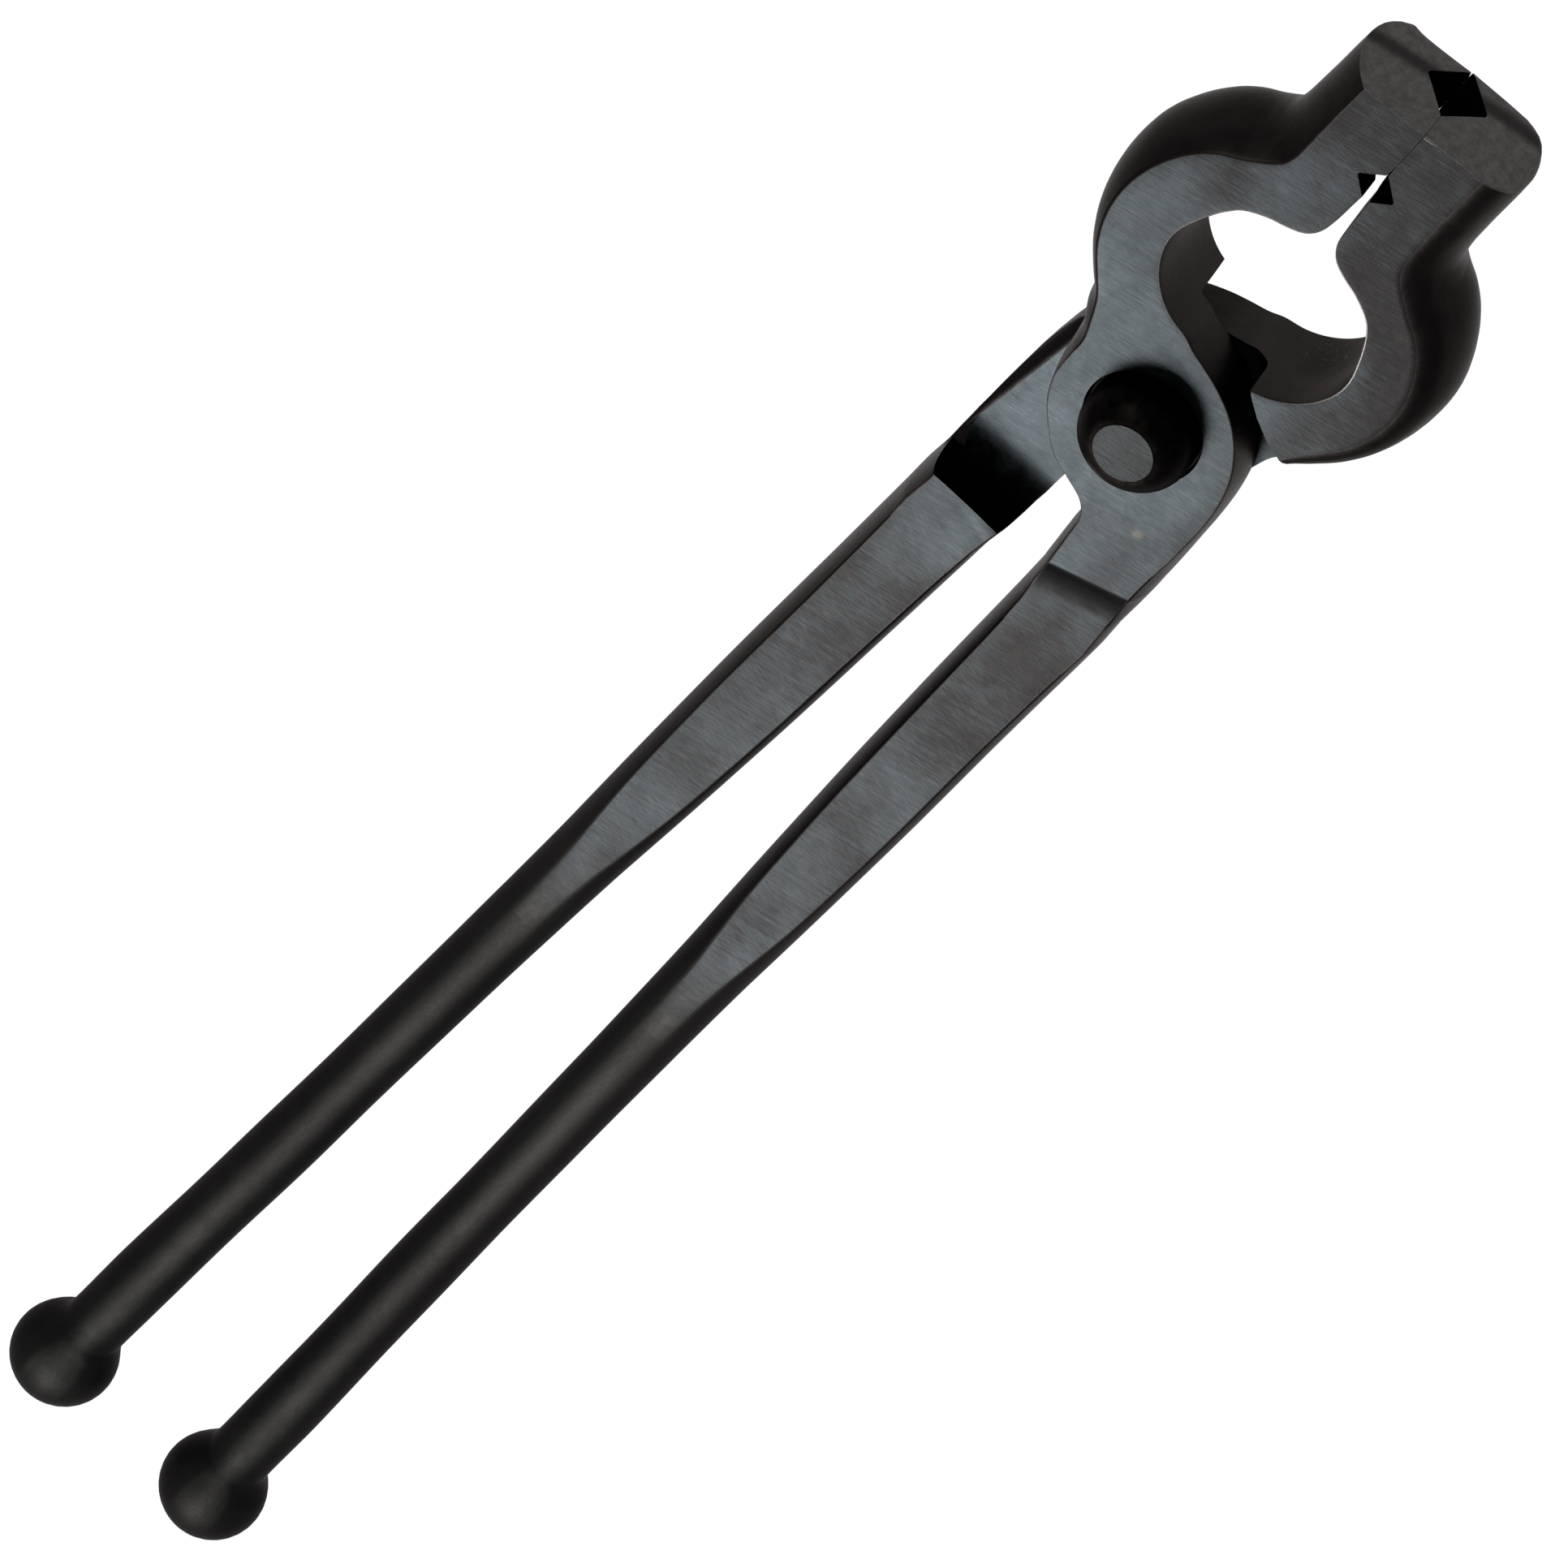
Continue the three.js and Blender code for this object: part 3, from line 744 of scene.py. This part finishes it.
def forged_colour(n, mottle):
    """Warm black at the jaws and greyer down the handles, with a painted highlight that makes the rods
    paler where they leave the flats.
    """
    blotch = n.span(mottle, 0.3, 0.7, 0.0, 1.0)
    jaws = n.mix(blotch, JAW_DARK, JAW_PALE)
    rods = n.mix(blotch, ROD_DARK, ROD_PALE)
    ball = n.mix(blotch, BALL_DARK, BALL_PALE)
    handle = n.mix(n.span(n.toward(1, 0, 0), -262, -190, 0.0, 1.0), ball, rods)
    # Painted highlight: the rods are made paler where they leave the flats.
    handle = n.mix(n.span(n.toward(1, 0, 0), -215, -165, 0.0, 0.5), handle, ROD_PAINTED_HIGHLIGHT)
    colour = n.mix(n.span(n.toward(1, 0, 0), -120, -30, 0.0, 1.0), handle, jaws)
    slow = n.noise((2.6, 1, 1), 0.06, 2.0, 0.5)
    return n.mix(n.span(slow, 0.35, 0.65, 0.0, 0.45), colour, CLOUD_DARK)


def lit_eye_and_shaded_seat(n, colour):
    """Painted light inside the eye, brightest towards the tips where the key lights its wall, and painted
    shade that blackens the rivet's seat.
    """
    eye = n.near((EYE[0], 0, FRONT_Z), 13.4, 16.4, (1, 0.85, 0))
    toward_tips = n.toward(0.8, -0.6, 0)
    # Painted light: the eye's wall is made paler, most towards the tips, where the light falls on it.
    lit = n.maths("MULTIPLY", eye, n.span(toward_tips, 22, 50, 0.12, 1.0))
    colour = n.mix(lit, colour, EYE_PAINTED_LIGHT)
    # Painted shade: the rivet's seat is blackened.
    seat = n.near((0, 0, FRONT_Z), 9.4, 9.7, (1, 1, 0))
    return n.mix(seat, colour, SEAT_PAINTED_SHADE)


def forged_steel():
    """The black scale of the forging, glossier at the jaws, with a pitted patch inside the back jaw."""
    n = Nodes("forged_black")
    mottle = n.noise((1.6, 1, 1), 0.3, 6.0, 0.68)
    grain = n.noise((1, 1, 1), 2.2, 4.0, 0.6)
    patch = n.near((24.0, -14.0, 6.5), 2.0, 8.5)
    pits = n.noise((1, 1, 1), 1.5, 5.0, 0.8)
    rust = n.maths("MULTIPLY", patch, n.span(pits, 0.56, 0.66, 0.0, 1.0))
    colour = lit_eye_and_shaded_seat(n, n.mix(rust, forged_colour(n, mottle), PITTED))
    rough = n.maths("ADD", n.span(grain, 0.3, 0.7, 0.0, 0.06), n.maths("MULTIPLY", patch, 0.2))
    rough = n.maths("ADD", rough, n.span(n.toward(1, 0, 0), -150, -40, 0.56, 0.38))
    height = n.maths("ADD", n.maths("MULTIPLY", mottle, 1.4), n.maths("MULTIPLY", grain, 0.25))
    n.bump(n.maths("ADD", height, n.maths("MULTIPLY", rust, 0.8)), 0.3, 0.16)
    return n.finish(colour, rough)


def shaded_dome_steel():
    """The rivet's dome, rougher than the forgings round it and painted blacker, as painted shade for the
    shadowed walls of its seat.
    """
    n = Nodes("rivet_black")
    mottle = n.noise((1, 1, 1), 0.5, 5.0, 0.65)
    blotch = n.span(mottle, 0.35, 0.65, 0.0, 1.0)
    # Painted shade: the dome is darkened as if shaded by its seat's walls.
    colour = n.mix(blotch, DOME_SHADE_DARK, DOME_SHADE_PALE)
    n.bump(mottle, 0.25, 0.2)
    return n.finish(colour, 0.42)


def end_steel():
    """The jaws' ends, rubbed paler than the forging, with a band of painted shade where they start to roll
    over.
    """
    n = Nodes("jaw_ends")
    mottle = n.noise((1, 1, 1), 0.7, 6.0, 0.7)
    height = n.toward(0, -0.16, 1)
    # Painted shade: a dark band across each end, standing in for the shadowed floor below the tips that it
    # would reflect.
    band = n.span(n.maths("ABSOLUTE", n.maths("SUBTRACT", height, LAP_Z - 3.1)), 0.4, 2.6, 0.85, 0.0)
    colour = n.mix(n.span(mottle, 0.3, 0.7, 0.0, 1.0), END_DARK, END_PALE)
    colour = n.mix(band, colour, END_PAINTED_SHADE)
    n.bump(mottle, 0.2, 0.15)
    return n.finish(colour, 0.5)


forged = forged_steel()
ground = ground_steel("ground_flat", FLAT_DULL, FLAT_BRIGHT, 0.0)
lap = ground_steel("lap_face", FLAT_DULL, FLAT_BRIGHT, 0.25, shade_step=True)
ends = end_steel()
pin_side = shaded_dome_steel()
pin_flat = ground_steel("rivet_flat", RIVET_DULL, RIVET_BRIGHT, -0.6)


# ---------- pieces ----------

SHARP_FORGING = 34
SHARP_RIVET = 18


def finish_mesh(thing, sharp):
    mesh = thing.data
    made = bmesh.new()
    made.from_mesh(mesh)
    bmesh.ops.remove_doubles(made, verts=made.verts, dist=0.004 * MM)
    bmesh.ops.dissolve_degenerate(made, dist=0.002 * MM, edges=made.edges)
    made.to_mesh(mesh)
    made.free()
    mesh.shade_smooth()
    mesh.set_sharp_from_angle(angle=math.radians(sharp))
    even = thing.modifiers.new("even_normals", "WEIGHTED_NORMAL")
    even.keep_sharp = True
    even.weight = 70


def lever(name, side, seat, corner, soft):
    """side is +1 for the front lever. corner is the roll of the jaw's end, soft that of its outer edge."""
    thing = forging(name, side, corner, soft)
    boolean(thing, grip_groove(side), "DIFFERENCE")
    boolean(thing, wire_notch(side), "DIFFERENCE")
    if side > 0:
        boolean(thing, lap_cutter(FRONT_RECESS_FILLET), "DIFFERENCE")
    else:
        boolean(thing, lap_cutter(BACK_RECESS_FILLET), "DIFFERENCE")
        boolean(thing, outer_bevel(), "DIFFERENCE")
    boolean(thing, seat, "DIFFERENCE")
    for material in (forged, ground, lap, ends):
        thing.data.materials.append(material)
    finish_mesh(thing, SHARP_FORGING)
    return thing


def place_front(thing):
    thing.data.transform(Matrix.Translation((0, 0, LAP_Z * MM)))


def place_back(thing):
    thing.data.transform(Matrix.Translation((0, 0, LAP_Z * MM)) @ Matrix.Rotation(math.pi, 4, "X"))


def rivet_dome(collar):
    """The head's side, from its collar up to its flat, drawn in towards the flat's radius."""
    last_angle = 1.02
    rise = (RIVET_TOP - collar) / math.sin(last_angle)
    angles = np.linspace(0, last_angle, 14)
    shrink = RIVET_FLAT_RADIUS / (HEAD_RADIUS * math.cos(last_angle))
    return [
        (HEAD_RADIUS * math.cos(a) * (1 + (shrink - 1) * (i / 13) ** 2), collar + rise * math.sin(a))
        for i, a in enumerate(angles)
    ]


def rivet():
    underside = FRONT_Z - 0.7
    profile = [
        (0, 0), (7.4, 0), (7.75, 0.12), (8.1, 0.6), (SHANK_RADIUS, 3.0), (SHANK_RADIUS, underside),
        (HEAD_RADIUS - 0.3, underside), (HEAD_RADIUS, underside + 0.3),
        *rivet_dome(FRONT_Z + 2.2)[:-1],
        (RIVET_FLAT_RADIUS + 0.12, RIVET_TOP - 0.16), (RIVET_FLAT_RADIUS - 0.35, RIVET_TOP),
        (0, RIVET_TOP),
    ]
    slots = [FORGED] * len(profile)
    slots[0] = slots[-2] = GROUND
    thing = lathe("pivot_rivet_dressed", profile, 96, slots)
    for material in (pin_side, pin_flat):
        thing.data.materials.append(material)
    finish_mesh(thing, SHARP_RIVET)
    return thing


front = lever("front_lever_forged", 1, seat_cutter(SEAT_RADIUS, 1.0), 0.15, 0.35)
place_front(front)
rear = lever("back_lever_forged", -1, seat_cutter(TAIL_SEAT_RADIUS, 2.4), 2.2, 1.7)
place_back(rear)
pin = rivet()
for thing, body, node, slot in (
    (front, "front_lever", "front_lever", "blackened_steel"),
    (rear, "back_lever", "back_lever", "blackened_steel"),
    (pin, "back_lever", "pivot_rivet", "rivet_steel"),
):
    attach(thing, body)
    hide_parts(node)


# ---------- floor, light and camera ----------

VIEW_AZIMUTH = 6.05
VIEW_ELEVATION = 49.84
VIEW_ROLL = -142.77
VIEW_DISTANCE = 8.0
VIEW_WIDTH = 0.2240
AIM = Vector((-0.10161, -0.00086, LAP_Z * MM - 0.00081))

FLOOR_GLOW = 1.02
SKY_GLOW = 0.4
MIDDLE = Vector((-0.1, 0, 0))
KEY_AT = MIDDLE + 0.6 * Vector((-0.641, -0.068, 0.764))
FILL_AT = MIDDLE + 1.2 * Vector((0.5, 0.5, 0.707))


def floor():
    bpy.ops.mesh.primitive_plane_add(size=30, location=(0, 0, 0))
    plane = bpy.context.object
    plane.name = "floor"
    material = bpy.data.materials.new("floor")
    tree, shader = nodes_of(material)
    shader.inputs["Base Color"].default_value = (0, 0, 0, 1)
    shader.inputs["Specular IOR Level"].default_value = 0
    shader.inputs["Emission Color"].default_value = (1, 1, 1, 1)
    shader.inputs["Emission Strength"].default_value = FLOOR_GLOW
    plane.data.materials.append(material)


def softbox(name, place, size, energy):
    data = bpy.data.lights.new(name, "AREA")
    data.shape = "SQUARE"
    data.size = size
    data.energy = energy
    lamp = bpy.data.objects.new(name, data)
    lamp.location = place
    lamp.visible_camera = False
    lamp.rotation_euler = (MIDDLE - place).to_track_quat("-Z", "Y").to_euler()
    bpy.context.scene.collection.objects.link(lamp)


def camera():
    data = bpy.data.cameras.new("camera")
    data.sensor_width = 36
    data.lens = 36 * VIEW_DISTANCE / VIEW_WIDTH
    data.clip_end = 50
    thing = bpy.data.objects.new("camera", data)
    azimuth, elevation = math.radians(VIEW_AZIMUTH), math.radians(VIEW_ELEVATION)
    away = Vector((math.cos(azimuth) * math.cos(elevation), math.sin(azimuth) * math.cos(elevation),
                   math.sin(elevation)))
    upright = away.to_track_quat("Z", "Y")
    turned = upright @ Matrix.Rotation(math.radians(VIEW_ROLL), 3, "Z").to_quaternion()
    thing.rotation_mode = "QUATERNION"
    thing.rotation_quaternion = turned
    thing.location = AIM + away * VIEW_DISTANCE
    bpy.context.scene.collection.objects.link(thing)
    bpy.context.scene.camera = thing


floor()
softbox("key", KEY_AT, 0.3, 11)
softbox("fill", FILL_AT, 0.8, 7)
camera()
world = bpy.data.worlds.new("world")
world.use_nodes = True
world.node_tree.nodes["Background"].inputs["Color"].default_value = (1, 1, 1, 1)
world.node_tree.nodes["Background"].inputs["Strength"].default_value = SKY_GLOW
bpy.context.scene.world = world
bpy.context.scene.view_settings.view_transform = "Standard"
